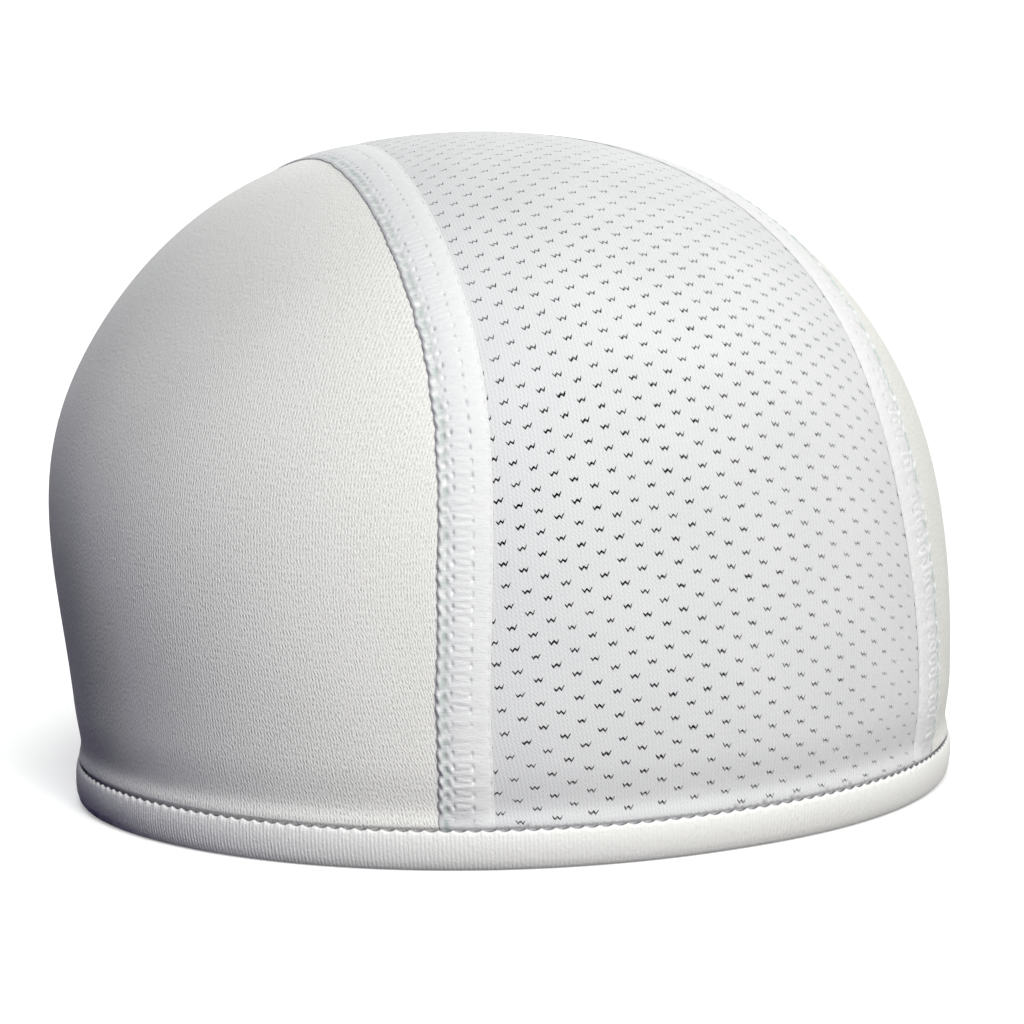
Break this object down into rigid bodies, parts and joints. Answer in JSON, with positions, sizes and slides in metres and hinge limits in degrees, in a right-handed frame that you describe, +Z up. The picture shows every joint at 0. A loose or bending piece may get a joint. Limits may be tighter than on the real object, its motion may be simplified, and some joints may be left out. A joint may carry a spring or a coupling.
{
  "type": "helmet liner cap",
  "caption": "Close-fitting knit skull cap with a perforated middle panel, smooth side panels, flat topstitched seams and a folded hem band.",
  "frame": {"origin": "centre of the cap's footprint, on the surface that the fold of its hem band rests on", "axes": "+Z up towards the crown, +Y from the forehead towards the nape, +X towards the wearer's left ear"},
  "size_m": [0.1764, 0.1902, 0.129],
  "materials": {
    "mesh_fabric": "cool white warp knit with fine upright wales and small zigzag eyelets, matt",
    "side_fabric": "off-white stretch tricot with very fine wales and a soft sheen",
    "seam_fabric": "white flat seam with rows of topstitching and a twisted covering edge",
    "hem_fabric": "cream folded binding with fine upright ribs and a scalloped row of stitches along its top"
  },
  "bodies": {
    "root": {"center_panel": "mesh_fabric", "side_panel_left": "side_fabric", "side_panel_right": "side_fabric", "seam_band_left": "seam_fabric", "seam_band_right": "seam_fabric", "hem_band": "hem_fabric"}
  },
  "joints": []
}
